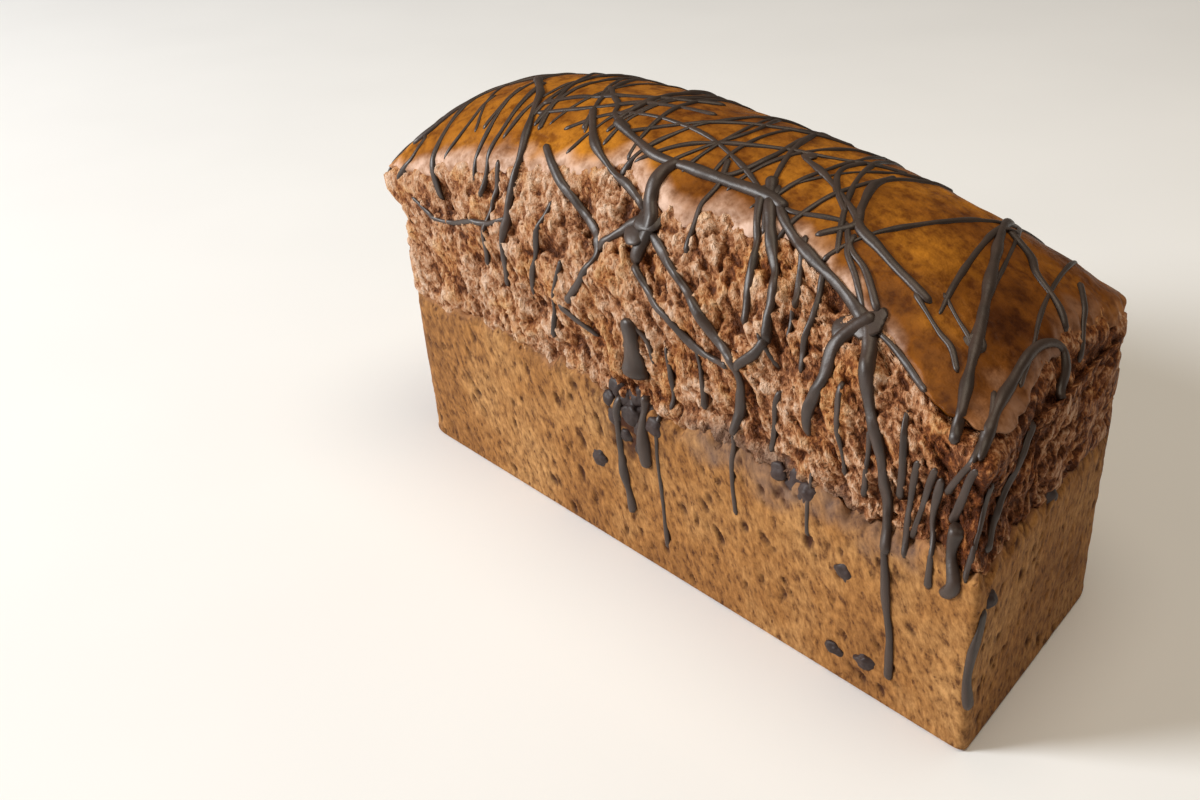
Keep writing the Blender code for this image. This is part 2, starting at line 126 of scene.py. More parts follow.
def lumps(points, size, offset=0.0):
    """Soft noise between about -1 and 1, with lumps of this size, or of one size along each axis."""
    scaled = (points / np.asarray(size)).reshape(-1, 3) + offset
    values = [noise.noise(Vector(point)) for point in scaled]
    return np.array(values).reshape(points.shape[:-1])


def cells(points, size, offset=0.0):
    """Distance to the middle of the nearest cell, and how much further the next one is."""
    scaled = (points / np.asarray(size)).reshape(-1, 3) + offset
    near = np.array([noise.voronoi(Vector(point))[0][:2] for point in scaled])
    near = near.reshape(points.shape[:-1] + (2,))
    return near[..., 0], near[..., 1] - near[..., 0]


def pits(points, size, offset, width=0.3):
    """Scattered pits of uneven size and shape, from 0 outside them to 1 at their bottoms."""
    wide = np.max(size)
    bent = points + 0.22 * np.asarray(size) * np.stack(
        [lumps(points, wide / 2, offset + shift) for shift in (11.0, 23.0, 37.0)], -1)
    kept = smooth_step(lumps(points, 2.2 * wide, offset + 51.0), -0.3, 0.15)
    return np.clip(1 - cells(bent, size, offset)[0] / width, 0, 1) * kept


def creases(points, size, offset, width):
    """Narrow cracks between flakes, from 0 on a flake to 1 in the crack."""
    return 1 - smooth_step(np.abs(lumps(points, size, offset)), 0, width)


def wrapped_grid(columns, rows):
    """Rings of faces round the loaf, finest on the near side, with each vertex's place."""
    body = bmesh.new()
    bmesh.ops.create_grid(body, x_segments=columns, y_segments=rows, size=1)
    places = np.array([vert.co[:2] for vert in body.verts])
    turn = (places[:, 0] + 1) / 2
    crowding = NEAR_SIDE_CROWDING / (2 * np.pi) * np.sin(2 * np.pi * (turn - NEAR_SIDE_MIDDLE))
    row = np.rint((places[:, 1] + 1) / 2 * rows).astype(int)
    return body, (turn - crowding) % 1, row


def settle(body, points, **tints):
    """Puts the vertices and their tints in place, closes seam and poles, turns the faces outwards."""
    for name in tints:
        body.verts.layers.float.new(name)
    for vert, point in zip(body.verts, points + PLAN_SHIFT):
        vert.co = point
    for name, values in tints.items():
        layer = body.verts.layers.float[name]
        for vert, value in zip(body.verts, values):
            vert[layer] = value
    bmesh.ops.remove_doubles(body, verts=body.verts, dist=1e-7)
    bmesh.ops.recalc_face_normals(body, faces=body.faces)
    if body.calc_volume(signed=True) < 0:
        bmesh.ops.reverse_faces(body, faces=body.faces)


def add_piece(name, body, finish):
    """A finished piece of the loaf that rides with it and stands in for its solid."""
    mesh = bpy.data.meshes.new(name)
    body.to_mesh(mesh)
    body.free()
    mesh.materials.append(finish)
    mesh.shade_smooth()
    piece = bpy.data.objects.new(name, mesh)
    bpy.context.scene.collection.objects.link(piece)
    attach(piece, "root")
    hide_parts("loaf")
    return piece


# The crumb's pores and fibres lean along the loaf by this much for each step up
LEAN = -0.4
FIBRE_TURN = float(np.arctan(LEAN))


def node(tree, kind, settings=None, **sockets):
    """A shader node with its settings, and with its sockets set to values or joined to other sockets."""
    made = tree.nodes.new(kind)
    for name, value in (settings or {}).items():
        setattr(made, name, value)
    for name, value in sockets.items():
        socket = made.inputs[int(name[1:])] if name[0] == "_" else made.inputs[name.replace("_", " ")]
        if isinstance(value, bpy.types.NodeSocket):
            tree.links.new(value, socket)
        else:
            socket.default_value = value
    return made


def ramp(tree, factor, *stops):
    """A colour ramp through (position, value or colour) stops."""
    made = node(tree, "ShaderNodeValToRGB", Fac=factor)
    elements = made.color_ramp.elements
    while len(elements) < len(stops):
        elements.new(0.5)
    for element, (position, colour) in zip(elements, stops):
        element.position = position
        grey = (colour, colour, colour) if np.isscalar(colour) else colour
        element.color = (*grey, 1)
    return made.outputs["Color"]


def mix(tree, factor, first, second, blend="MIX"):
    made = node(tree, "ShaderNodeMix", {"data_type": "RGBA", "blend_type": blend}, _0=factor)
    for socket, value in ((made.inputs[6], first), (made.inputs[7], second)):
        if isinstance(value, bpy.types.NodeSocket):
            tree.links.new(value, socket)
        else:
            socket.default_value = (*value, 1)
    return made.outputs[2]


def leaning_space(tree, where, stretch):
    """Object coordinates stretched along the way the crumb's fibres lean."""
    return node(tree, "ShaderNodeMapping", {"vector_type": "TEXTURE"}, Vector=where,
                Rotation=(0, FIBRE_TURN, 0), Scale=stretch)


def grain(tree, where, scale, detail=2.0, roughness=0.5, stretch=(1, 1, 1)):
    """Noise on object coordinates, in grains per metre."""
    turned = leaning_space(tree, where, stretch)
    made = node(tree, "ShaderNodeTexNoise", Vector=turned.outputs[0], Scale=scale, Detail=detail,
                Roughness=roughness)
    return made.outputs["Fac"]


def pores(tree, where, scale, stretch=(1, 1, 1)):
    """Distance to the nearest of scattered points, in points per metre."""
    turned = leaning_space(tree, where, stretch)
    made = node(tree, "ShaderNodeTexVoronoi", Vector=turned.outputs[0], Scale=scale)
    return made.outputs["Distance"]


def tint(tree, name):
    """A tint that the piece's vertices carry."""
    return node(tree, "ShaderNodeAttribute", {"attribute_name": name}).outputs["Fac"]


def uneven_holes(tree, where, scale, stretch=(1, 1, 1)):
    """Small ragged holes: 0 in a hole, 1 outside."""
    ragged = mix(tree, 0.45, pores(tree, where, scale, stretch), grain(tree, where, 2.1 * scale, 2, 0.6))
    return ramp(tree, ragged, (0.2, 0.0), (0.31, 1.0))


def new_material(name, roughness):
    """An empty material's tree, its shader, and the object coordinates."""
    made = bpy.data.materials.new(name)
    made.use_nodes = True
    tree = made.node_tree
    shader = tree.nodes["Principled BSDF"]
    shader.inputs["Roughness"].default_value = roughness
    where = tree.nodes.new("ShaderNodeTexCoord").outputs["Object"]
    return made, tree, shader, where


def relief(tree, shader, height, distance, strength=1.0):
    bump = node(tree, "ShaderNodeBump", Height=height, Distance=distance, Strength=strength)
    tree.links.new(bump.outputs[0], shader.inputs["Normal"])


SMEAR_COLOURS = ((0.1, 0.055, 0.04), (0.24, 0.145, 0.1))


def formed_crumb():
    made, tree, shader, where = new_material("tin-formed crumb", 0.7)
    broad = grain(tree, where, 38, 4, 0.62)
    fine = grain(tree, where, 640, 4, 0.68, (1, 1, 1.9))
    base = ramp(tree, broad, (0.3, (0.19, 0.075, 0.018)), (0.48, (0.3, 0.13, 0.034)),
                (0.68, (0.38, 0.19, 0.064)))
    speckle = ramp(tree, fine, (0.33, (0.3, 0.22, 0.17)), (0.45, (0.85, 0.8, 0.76)),
                   (0.53, (1.05, 1.05, 1.05)), (0.66, (1.45, 1.5, 1.6)))
    base = mix(tree, 1.0, base, speckle, "MULTIPLY")
    holes = uneven_holes(tree, where, 380, (1, 1, 2.2))
    # Painted shade in the small holes, which are only bumps in the surface
    base = mix(tree, holes, (0.13, 0.045, 0.013), base)
    smear = mix(tree, fine, *SMEAR_COLOURS)
    base = mix(tree, tint(tree, "smear"), base, smear)
    base = mix(tree, tint(tree, "ledge"), base, mix(tree, fine, (0.1, 0.03, 0.008), (0.5, 0.24, 0.1)))
    # Painted shade in the modelled pits, together with the real stain of melted chips around them
    base = mix(tree, tint(tree, "pit"), base, (0.05, 0.014, 0.004))
    tree.links.new(base, shader.inputs["Base Color"])
    shader.inputs["Specular IOR Level"].default_value = 0.2
    relief(tree, shader, mix(tree, 0.45, fine, holes), 0.0007, 0.9)
    return made


SIDE_COLUMNS = 760
WALL_ROWS = 66
# Shares of the loaf's outline at which the rings of the base and of the ledge lie, and the ledge's rise
# over the tin line in mm
BASE_REACH = (0.0, 0.4, 0.75, 0.93, 0.985)
LEDGE_REACH = (0.985, 0.965, 0.93, 0.88, 0.7, 0.35, 0.0)
LEDGE_RISE = (0.1, 0.0, -0.3, -0.6, -0.8, -0.8, -0.8)
RIM_REACH = 14 * MM
# The melted chips' stain: its middle along and up the near side, and its reach each way
STAIN_ALONG = -1 * MM
STAIN_HEIGHT = 42 * MM
STAIN_REACH = (10 * MM, 11 * MM)
# The grey-brown smear along the tin line fades in and out between these places
SMEAR_START = (12 * MM, 28 * MM)
SMEAR_END = (86 * MM, 98 * MM)
LEAST_SINK = 0.25


def rim_shift(points):
    """How far the ragged rim of the formed side stands over or under the tin line, in millimetres."""
    level = points * (1, 1, 0) + (0, 0, TIN_LINE)
    shift = 2.6 * lumps(level, 19 * MM, 15.0) + 2.2 * lumps(level, 6 * MM, 12.0)
    return shift + 1.4 * lumps(level, 2.6 * MM, 18.0) - 0.4


def outward(points):
    """The direction away from the heart of the loaf, level below it."""
    heart = points.copy()
    heart[..., 0] = np.clip(points[..., 0], -HEART_HALF, HEART_HALF)
    heart[..., 1] = 0
    heart[..., 2] = np.minimum(points[..., 2], HEART_HEIGHT)
    away = points - heart
    return away / np.maximum(np.linalg.norm(away, axis=-1, keepdims=True), MM / 100)


def side_rows(reaches, heights, wall_bottom, wall_top, rows, after_reaches, after_heights):
    """Reach and height for each row of rings: rings below, the wall, rings above."""
    wall = np.linspace(wall_bottom, wall_top, rows)
    reach = np.concatenate([reaches, np.ones(rows), after_reaches])
    height = np.concatenate([heights, wall, after_heights])
    return reach, height


def chocolate_stain(points):
    """From 0 to 1 where chips melted out of the near side and stained the crumb round them."""
    across = (points[:, 0] - STAIN_ALONG) / STAIN_REACH[0]
    over = (points[:, 2] - STAIN_HEIGHT) / STAIN_REACH[1]
    patchy = smooth_step(lumps(points, 4 * MM, 61.0) + 0.5 * lumps(points, 1.8 * MM, 63.0), -0.35, 0.2)
    return (points[:, 1] < 0) * np.clip(1.5 * np.exp(-across * across - over * over), 0, 1) * patchy


def smear_along(x, y):
    """From 0 to 1 where the near side is smeared grey-brown by melted chips."""
    return smooth_step(x, *SMEAR_START) * (1 - smooth_step(x, *SMEAR_END)) * (y < 0)


def leaned(points):
    """The points moved along the loaf so that noise on them follows the lean of the crumb."""
    return points - np.stack([LEAN * points[:, 2], 0 * points[:, 2], 0 * points[:, 2]], -1)


reach_of, height_of = side_rows(
    BASE_REACH, np.zeros(len(BASE_REACH)), 0.7 * MM, TIN_LINE - 0.5 * MM, WALL_ROWS,
    LEDGE_REACH, TIN_LINE + np.array(LEDGE_RISE) * MM)
body, turn, row = wrapped_grid(SIDE_COLUMNS, len(reach_of) - 1)
u, v = round_the_square(turn)
z = height_of[row]
x, y = rounded(u * reach_of[row], v * reach_of[row], z)
points = np.stack([x, y, z], -1)
on_wall = smooth_step(z, 0, 2 * MM) * (reach_of[row] > 0.9)
ripple = 0.35 * lumps(points, 33 * MM) - 0.35
ripple += 0.25 * lumps(points, 7 * MM, 5.0) + 0.2 * lumps(points, (1.9 * MM, 1.9 * MM, 2.6 * MM), 9.0)
leaning = leaned(points)
pitted = np.maximum(pits(leaning, (6.2 * MM, 6.2 * MM, 9.5 * MM), 3.0, 0.25),
                    0.8 * pits(leaning, (3.1 * MM, 3.1 * MM, 5.6 * MM), 7.0, 0.31))
pitted *= on_wall
ripple -= 1.5 * pitted
rim = smooth_step(z, TIN_LINE - 5 * MM, TIN_LINE + 0.5 * MM)
ripple += rim * (1.3 * lumps(points, 5 * MM, 2.0) - 0.6)
ripple -= rim * 2.2 * smooth_step(lumps(points, 8 * MM, 27.0), 0.1, 0.45)
ripple -= 0.9 * smooth_step(z, TIN_LINE - 2.5 * MM, TIN_LINE - 0.5 * MM)
smear = smear_along(x, y)
smear *= smooth_step(z + 7 * MM * lumps(points, 11 * MM, 31.0), TIN_LINE - 10 * MM, TIN_LINE - 4 * MM)
smear *= 0.55 + 0.5 * lumps(points, 4 * MM, 35.0)
shift = rim_shift(points)
stain = chocolate_stain(points)
points = points + outward(points) * (on_wall * np.minimum(ripple, -LEAST_SINK) * MM)[:, None]
points[:, 2] += smooth_step(z, TIN_LINE - RIM_REACH, TIN_LINE) * MM * shift
points[reach_of[row] < 0.001, 1] = 0
points[row <= len(BASE_REACH) - 1, 2] = 0
ledge = (reach_of[row] < 0.97) * (row > len(BASE_REACH)) + smooth_step(rim, 0.7, 1) * (1 - smear)
# Painted shade in the pits (from the pit mask), plus the real chocolate stain
pit = np.clip(1.9 * pitted + stain, 0, 1)
settle(body, points, pit=pit, smear=np.clip(smear, 0, 1), ledge=np.clip(ledge, 0, 1))
formed_tree = BVHTree.FromBMesh(body)
add_piece("tin_formed_crumb", body, formed_crumb())

# Over the tin line the batter rose free and tore as the crust set: a band of coarse, moist crumb,
# pulled into upright knobs with dark hollows between them, a little behind the wall below it.
CREST_ALONG = np.array([-120, -100, -75, -35, 0, 40, 75, 100, 120]) * MM
CREST_HEIGHT = np.array([102, 108, 112.5, 114.5, 112.5, 106.5, 98.5, 90.5, 85]) * MM
CREST_SHIFT = -5 * MM
LIP_NEAR_LEFT = 81 * MM
LIP_NEAR_RIGHT = 75 * MM
LIP_FAR_LEFT = 80 * MM
LIP_FAR_RIGHT = 74 * MM
# The dome's fall across and towards each end: the power of its curve and of its shoulder
DOME_ACROSS = (2.1, 0.56)
DOME_LEFT_END = (8.0, 0.45)
DOME_RIGHT_END = (5.0, 0.50)
LEFT_BROW_START = 103 * MM
LEFT_BROW_RUN = 16 * MM
LEFT_BROW_DROP = 3 * MM
END_TURN = 45 / 42.5
BAND_RECESS = 1.9 * MM
BURST_SWELL = 0.9 * MM
BURST_ALONG = (0.2 * LENGTH, 0.4 * LENGTH)
BURST_ACROSS = (0, 0.3 * WIDTH)
CORNER_RECESS = 2.6 * MM
CORNER_ALONG = (0.35 * LENGTH, 0.48 * LENGTH)
CORNER_ACROSS = (-0.1 * WIDTH, 0.4 * WIDTH)
KNOB_HEIGHT = 1.5 * MM
KNOB_SIZE = 11 * MM
# Hollows in the torn band: along, angle, reach and depth in mm
HOLLOWS = (
    (-81, 46, 5, 2.5),
    (-48, 47, 4, 2.5),
    (-22, 38, 4, 2),
    (32, 46, 5, 3.5),
    (103, 63, 8, 3),
)
# The crust's edge on the near side: along, angle
EDGE_PLACES = (
    (-105, 50), (-97, 46), (-85, 42), (-75, 38.5), (-60, 36), (-45, 32.5), (-30, 31), (-15, 25.5),
    (0, 30), (8, 32.5), (20, 28), (40, 27.5), (52, 30), (63, 35), (72, 37), (80, 42), (88, 49),
    (95, 54), (102, 57),
)
EDGE_ALONG = np.array([along for along, angle in EDGE_PLACES]) * MM
EDGE_ANGLE = np.array([angle for along, angle in EDGE_PLACES], float)
FAR_EDGE_ANGLE = -58.0
END_EDGE_HEIGHT = {-1: 68 * MM, 1: 75 * MM}
END_EDGE_ARCH = 8 * MM
# How many mm one degree is worth at the crust's edge
DEGREE_ARC = 1.19


def curve_through(value, places, heights):
    """A smooth curve through a few points, read at value."""
    slopes = np.gradient(heights, places)
    i = np.clip(np.searchsorted(places, value) - 1, 0, len(places) - 2)
    run = places[i + 1] - places[i]
    t = np.clip((value - places[i]) / run, 0, 1)
    rest = 1 - t
    start = rest * rest * (1 + 2 * t) * heights[i] + rest * rest * t * run * slopes[i]
    end = t * t * (1 + 2 * rest) * heights[i + 1] - t * t * rest * run * slopes[i + 1]
    return start + end


def outline_gap(x, y, z):
    """Below zero inside the loaf's outline at height z, above zero outside."""
    radius = corner_radius(x, y)
    past_end = np.abs(x) - end_reach(x, y, z) + radius
    past_side = np.abs(y) - half_width(z) + radius
    corner = np.hypot(past_end, past_side)
    flat = np.maximum(past_end, past_side)
    return np.where((past_end > 0) & (past_side > 0), corner, flat) - radius


def lip_height(x, y):
    right = np.clip(x / LENGTH + 0.5, 0, 1)
    far = np.clip(y / WIDTH + 0.5, 0, 1)
    near_lip = LIP_NEAR_LEFT + (LIP_NEAR_RIGHT - LIP_NEAR_LEFT) * right
    far_lip = LIP_FAR_LEFT + (LIP_FAR_RIGHT - LIP_FAR_LEFT) * right
    return near_lip + (far_lip - near_lip) * far


def fade(ratio, shape):
    """From 1 in the middle to 0 at the edge, with a steep shoulder."""
    power, shoulder = shape
    return np.clip(1 - np.clip(ratio, 0, 1) ** power, 0, 1) ** shoulder


def dome_height(x, y):
    to_side = np.where(y > CREST_SHIFT, y - CREST_SHIFT, CREST_SHIFT - y)
    side_room = np.where(y > CREST_SHIFT, WIDTH / 2 - CREST_SHIFT, WIDTH / 2 + CREST_SHIFT)
    to_end = np.abs(x) / end_reach(x, y, TAPER_HEIGHT + OVERHANG_RISE)
    along = np.where(x > 0, fade(to_end, DOME_RIGHT_END), fade(to_end, DOME_LEFT_END))
    lip = lip_height(x, y)
    rise = curve_through(x, CREST_ALONG, CREST_HEIGHT) - lip
    brow = LEFT_BROW_DROP * np.clip((-x - LEFT_BROW_START) / LEFT_BROW_RUN, 0, 1) ** 2
    return lip + np.maximum(rise * along * fade(to_side / side_room, DOME_ACROSS) - brow, 0)


def inside(points):
    x, y, z = points[..., 0], points[..., 1], points[..., 2]
    return (outline_gap(x, y, z) < 0) & (z < dome_height(x, y)) & (z > 0)


def on_skin(along, angle):
    """Points on the loaf's smooth skin, and the direction out of it from the heart."""
    along, angle = np.broadcast_arrays(np.asarray(along, float), np.asarray(angle, float))
    heart_x = np.clip(along, -HEART_HALF, HEART_HALF)
    bend = np.radians((along - heart_x) / MM * END_TURN)
    turned = np.radians(angle)
    out = np.stack([np.sin(bend), -np.sin(turned) * np.cos(bend), np.cos(turned) * np.cos(bend)], -1)
    heart = np.stack([heart_x, 0 * heart_x, HEART_HEIGHT + 0 * heart_x], -1)
    near = np.zeros(along.shape)
    far = np.full(along.shape, LENGTH)
    for _ in range(30):
        between = (near + far) / 2
        held = inside(heart + out * between[..., None])
        near = np.where(held, between, near)
        far = np.where(held, far, between)
    return heart + out * near[..., None], out


def crumb_relief(points):
    """How far the torn crumb lies from the smooth skin: recessed, knobbly and hollowed, in millimetres."""
    x, y, z = points[..., 0], points[..., 1], points[..., 2]
    corner = smooth_step(x, *CORNER_ALONG) * smooth_step(-y, *CORNER_ACROSS)
    burst = smooth_step(-y, *BURST_ACROSS) * (1 - smooth_step(np.abs(x), *BURST_ALONG))
    recess = BAND_RECESS - BURST_SWELL * burst + CORNER_RECESS * corner
    torn = KNOB_HEIGHT * 2 * lumps(points, KNOB_SIZE) - recess
    for along, angle, reach, depth in HOLLOWS:
        middle = on_skin(along * MM, angle)[0]
        away = np.linalg.norm(points - middle, axis=-1) / (reach * MM)
        torn = torn - depth * MM * np.exp(-away * away)
    return torn / MM


def skin_place(points):
    """The along and angle of points, the other way round from on_skin."""
    heart_x = np.clip(points[..., 0], -HEART_HALF, HEART_HALF)
    away = points - np.stack([heart_x, 0 * heart_x, HEART_HEIGHT + 0 * heart_x], -1)
    reach = np.maximum(np.linalg.norm(away, axis=-1), MM / 100)
    bend = np.degrees(np.arcsin(np.clip(away[..., 0] / reach, -1, 1)))
    return heart_x + bend / END_TURN * MM, np.degrees(np.arctan2(-away[..., 1], away[..., 2]))


def ragged(along, side):
    """How far the crust's torn edge wanders along one side, in millimetres."""
    place = np.stack([along, side * 50 * MM + 0 * along, 0 * along], -1)
    wander = 2.2 * lumps(place, 9 * MM, 3.0) + 1.6 * lumps(place, 4.2 * MM, 6.0)
    return wander + 0.8 * lumps(place, 2.2 * MM, 9.0)


def crust_gap(points):
    """Millimetres from places to the crust's edge, above zero under the crust."""
    along, angle = skin_place(points)
    near = (np.interp(along, EDGE_ALONG, EDGE_ANGLE) - angle) * DEGREE_ARC + ragged(along, -1)
    far = (angle - FAR_EDGE_ANGLE) * DEGREE_ARC + ragged(along, 1)
    end_height = np.where(points[..., 0] > 0, END_EDGE_HEIGHT[1], END_EDGE_HEIGHT[-1])
    end_height = end_height + END_EDGE_ARCH * np.cos(np.radians(angle * 90 / EDGE_ANGLE[-1]))
    over_end = (points[..., 2] - end_height) / MM + ragged(points[..., 1], np.sign(points[..., 0]) * 2)
    end = np.where(np.abs(points[..., 0]) > HEART_HALF, over_end, 99)
    return np.minimum(np.minimum(near, far), end)


def torn_crumb():
    made, tree, shader, where = new_material("torn crumb", 0.55)
    broad = grain(tree, where, 70, 3, 0.6)
    flecks = grain(tree, where, 520, 3, 0.62, (1, 1, 1.5))
    strings = grain(tree, where, 950, 3, 0.65, (1, 1, 1.5))
    full_range = ((0.33, 0.0), (0.67, 1.0))
    spread = mix(tree, 0.45, ramp(tree, flecks, *full_range), ramp(tree, strings, *full_range))
    # Colour follows the knobs' height tint: painted shade in the hollows, painted light on the knob tops
    level = mix(tree, 0.5, tint(tree, "height"), spread)
    level = mix(tree, 0.14, level, broad)
    # The darkest stop is the painted shade of the hollows, and the lightest is the painted light on the
    # knobs
    base = ramp(tree, level, (0.26, (0.075, 0.021, 0.006)), (0.37, (0.2, 0.066, 0.021)),
                (0.46, (0.4, 0.18, 0.08)), (0.55, (0.54, 0.31, 0.185)), (0.72, (0.72, 0.5, 0.36)))
    golden = mix(tree, 1.0, base, (0.95, 0.8, 0.52), "MULTIPLY")
    base = mix(tree, ramp(tree, broad, (0.38, 0.0), (0.54, 1.0)), golden, base)
    foot = mix(tree, strings, *SMEAR_COLOURS)
    base = mix(tree, tint(tree, "foot"), base, foot)
    tree.links.new(base, shader.inputs["Base Color"])
    shader.inputs["Specular IOR Level"].default_value = 0.15
    relief(tree, shader, spread, 0.0009, 1.0)
    return made


TORN_COLUMNS = 800
TORN_ROWS = 50
DOME_ROWS = 56
DOME_REACH_LAST = 0.58
LOWER_REACH = (0.0, 0.35, 0.7, 0.9, 0.96, 0.985)
# The torn crumb starts this far under the tin line, and stands out past the smooth skin by this many mm
# at most, less on the right end
BAND_FOOT = 8 * MM
MOST_STAND = 0.5
RIGHT_END_LESS = 0.7

lip_reach = 1 - (1 - DOME_REACH_LAST) * np.linspace(0, 1, DOME_ROWS)[1:] ** 2.2
reach_of = np.concatenate([LOWER_REACH, np.ones(TORN_ROWS), lip_reach, (0.3, 0.1, 0.0)])
body, turn, row = wrapped_grid(TORN_COLUMNS, len(reach_of) - 1)
u, v = round_the_square(turn)
u, v = u * reach_of[row], v * reach_of[row]
lip_x, lip_y = rounded(u, v, TAPER_HEIGHT)
lip = lip_height(lip_x, lip_y)
first_wall = len(LOWER_REACH)
up = np.clip((row - first_wall) / (TORN_ROWS - 1), 0, 1)
foot_z = TIN_LINE - BAND_FOOT
z = np.where(row < first_wall, foot_z, foot_z + (lip - foot_z) * up)
x, y = rounded(u, v, z)
on_dome = row >= first_wall + TORN_ROWS
z = np.where(on_dome, dome_height(x, y), z)
points = np.stack([x, y, z], -1)
gap = crust_gap(points)
beside_edge = 1 - smooth_step(-gap, 0, 5.5)
over_rim = (z - TIN_LINE) / MM - rim_shift(points)
above_ledge = smooth_step(over_rim, 1, 6)
under_ledge = 1 - smooth_step(over_rim, -2.5, 1)
leaning = leaned(points)
knobs = 0.9 * lumps(leaning, (4.4 * MM, 4.4 * MM, 5.6 * MM), 1.0)
knobs += 0.8 * lumps(leaning, (2.2 * MM, 2.2 * MM, 3.4 * MM), 8.0)
knobs += 0.7 * lumps(points, (1.4 * MM, 1.4 * MM, 1.9 * MM), 15.0)
knobs -= 1.1 * creases(leaning, (4.8 * MM, 4.8 * MM, 7.5 * MM), 19.0, 0.2)
knobs -= 0.7 * creases(leaning, (2.5 * MM, 2.5 * MM, 4.4 * MM), 29.0, 0.24)
knobs -= 1.4 * pits(leaning, (4.2 * MM, 4.2 * MM, 8.4 * MM), 19.0, 0.36)
knobs -= 1.6 * smooth_step(lumps(leaning, (5.5 * MM, 5.5 * MM, 9 * MM), 21.0), 0.3, 0.55)
knobs *= 0.92 - 0.35 * beside_edge
level = crumb_relief(points)
level = level * (1 - 0.7 * beside_edge) * (0.55 + 0.45 * above_ledge) - 0.3
level += 1.9 * smooth_step(-x, 88 * MM, 102 * MM) * (1 - smooth_step(z, 68 * MM, 76 * MM))
on_right_end = smooth_step(x - end_reach(1, y, z), -14 * MM, -4 * MM)
level += 2.2 * on_right_end * smooth_step(y, -32 * MM, -8 * MM) * (1 - on_dome)
torn = np.minimum(level + knobs, MOST_STAND - RIGHT_END_LESS * on_right_end)
# Tint for painted light and shade: high on the knob tops and low in the hollows, darker towards the right,
# with painted shade on the right end; the chip stain below is real
height = 0.66 + (knobs + 0.3 * np.minimum(level + 1, 0)) / 3.6
height -= 0.1 * smooth_step(x, -70 * MM, 95 * MM) + 0.06 * smooth_step(x, 85 * MM, 103 * MM)
height -= 0.16 * on_right_end
height -= 0.5 * chocolate_stain(points)
height = np.clip(height, 0, 1)
foot = smear_along(x, y)
foot *= 0.8 * (1 - smooth_step(over_rim + 5 * lumps(points, 8 * MM, 51.0), 0, 4))
torn -= 2.6 * smooth_step(gap, 1.5, 5) * (1 - 0.5 * smooth_step(np.abs(x), 95 * MM, 110 * MM))
torn -= 1.7 * under_ledge * (1 - on_dome)
held_in = (reach_of[row] > 0.97) | on_dome
points = points + outward(points) * ((torn - 0.2) * held_in * MM)[:, None]
settle(body, points, height=height, foot=foot)
torn_tree = BVHTree.FromBMesh(body)
add_piece("torn_crumb", body, torn_crumb())

# The crust is the dome's skin, baked hard and amber brown. Its round shoulder turns pale where it was
# pulled thin, and paler still on the lit near side as a painted sheen; it ends in a ragged edge that sinks
# into the torn crumb.
CRUST_THICKNESS = 6 * MM
EDGE_SINK = 1.9 * MM
CRUST_GRID = (270, 150, 4)
CRUST_CORNER = 0.3
EASING = 0.5
MOST_SWELL = 0.9 * MM
END_ANGLES = 66


def box_grid(cuts):
    """A closed box from -1 to 1 whose faces are divided into a grid, with its vertices' places."""
    body = bmesh.new()
    bmesh.ops.create_cube(body, size=2)
    for axis, count in enumerate(cuts):
        edges = []
        for edge in body.edges:
            start, end = (vert.co for vert in edge.verts)
            if abs(start[axis] - end[axis]) > 1e-6:
                edges.append(edge)
        bmesh.ops.subdivide_edges(body, edges=edges, cuts=count - 1, use_grid_fill=True)
    places = np.array([vert.co[:] for vert in body.verts])
    return body, places


def ease(value):
    """Moves grid lines apart in the middle and closer at the edges."""
    return (1 - EASING) * value + EASING * np.sin(value * np.pi / 2)


def round_square(u, v, radius):
    """Draws the corners of the square -1 to 1 in to this radius."""
    reach = np.maximum(np.maximum(np.abs(u), np.abs(v)), 1e-9)
    edge_u, edge_v = u / reach, v / reach
    from_u = np.maximum(np.abs(edge_u) - 1 + radius, 0)
    from_v = np.maximum(np.abs(edge_v) - 1 + radius, 0)
    shrink = radius / np.maximum(np.hypot(from_u, from_v), radius)
    in_corner = (from_u > 0) & (from_v > 0)
    round_u = np.sign(u) * (1 - radius + from_u * shrink)
    round_v = np.sign(v) * (1 - radius + from_v * shrink)
    return np.where(in_corner, round_u * reach, u), np.where(in_corner, round_v * reach, v)


def end_edge(angle, side):
    """How far along the skin the crust reaches over an end, found from the height of its edge."""
    height = END_EDGE_HEIGHT[side] + END_EDGE_ARCH * np.cos(np.radians(angle * 90 / EDGE_ANGLE[-1]))
    near = np.full(np.shape(angle), HEART_HALF)
    far = np.full(np.shape(angle), HEART_HALF + 60 * MM)
    for _ in range(24):
        between = (near + far) / 2
        above = on_skin(side * between, angle)[0][..., 2] > height
        near = np.where(above, between, near)
        far = np.where(above, far, between)
    return near


def baked_crust():
    made, tree, shader, where = new_material("baked crust", 0.45)
    broad = grain(tree, where, 30, 4, 0.6, (1.4, 1, 1))
    fine = grain(tree, where, 260, 3, 0.6)
    base = ramp(tree, broad, (0.32, (0.09, 0.024, 0.003)), (0.46, (0.225, 0.072, 0.007)),
                (0.64, (0.46, 0.172, 0.014)))
    mottle = ramp(tree, fine, (0.34, (0.52, 0.44, 0.4)), (0.5, (0.93, 0.92, 0.9)),
                  (0.68, (1.18, 1.18, 1.16)))
    base = mix(tree, 1.0, base, mottle, "MULTIPLY")
    pale = ramp(tree, fine, (0.36, (0.36, 0.19, 0.11)), (0.6, (0.68, 0.46, 0.35)))
    # Pale shoulder: crust that is really paler near its edge, plus a painted sheen on the lit near side
    base = mix(tree, tint(tree, "stretched"), base, pale)
    tree.links.new(base, shader.inputs["Base Color"])
    rough = ramp(tree, broad, (0.3, 0.4), (0.7, 0.55))
    tree.links.new(rough, shader.inputs["Roughness"])
    shader.inputs["Specular IOR Level"].default_value = 0.09
    relief(tree, shader, mix(tree, 0.5, fine, grain(tree, where, 110, 3, 0.6)), 0.0011, 1.0)
    return made


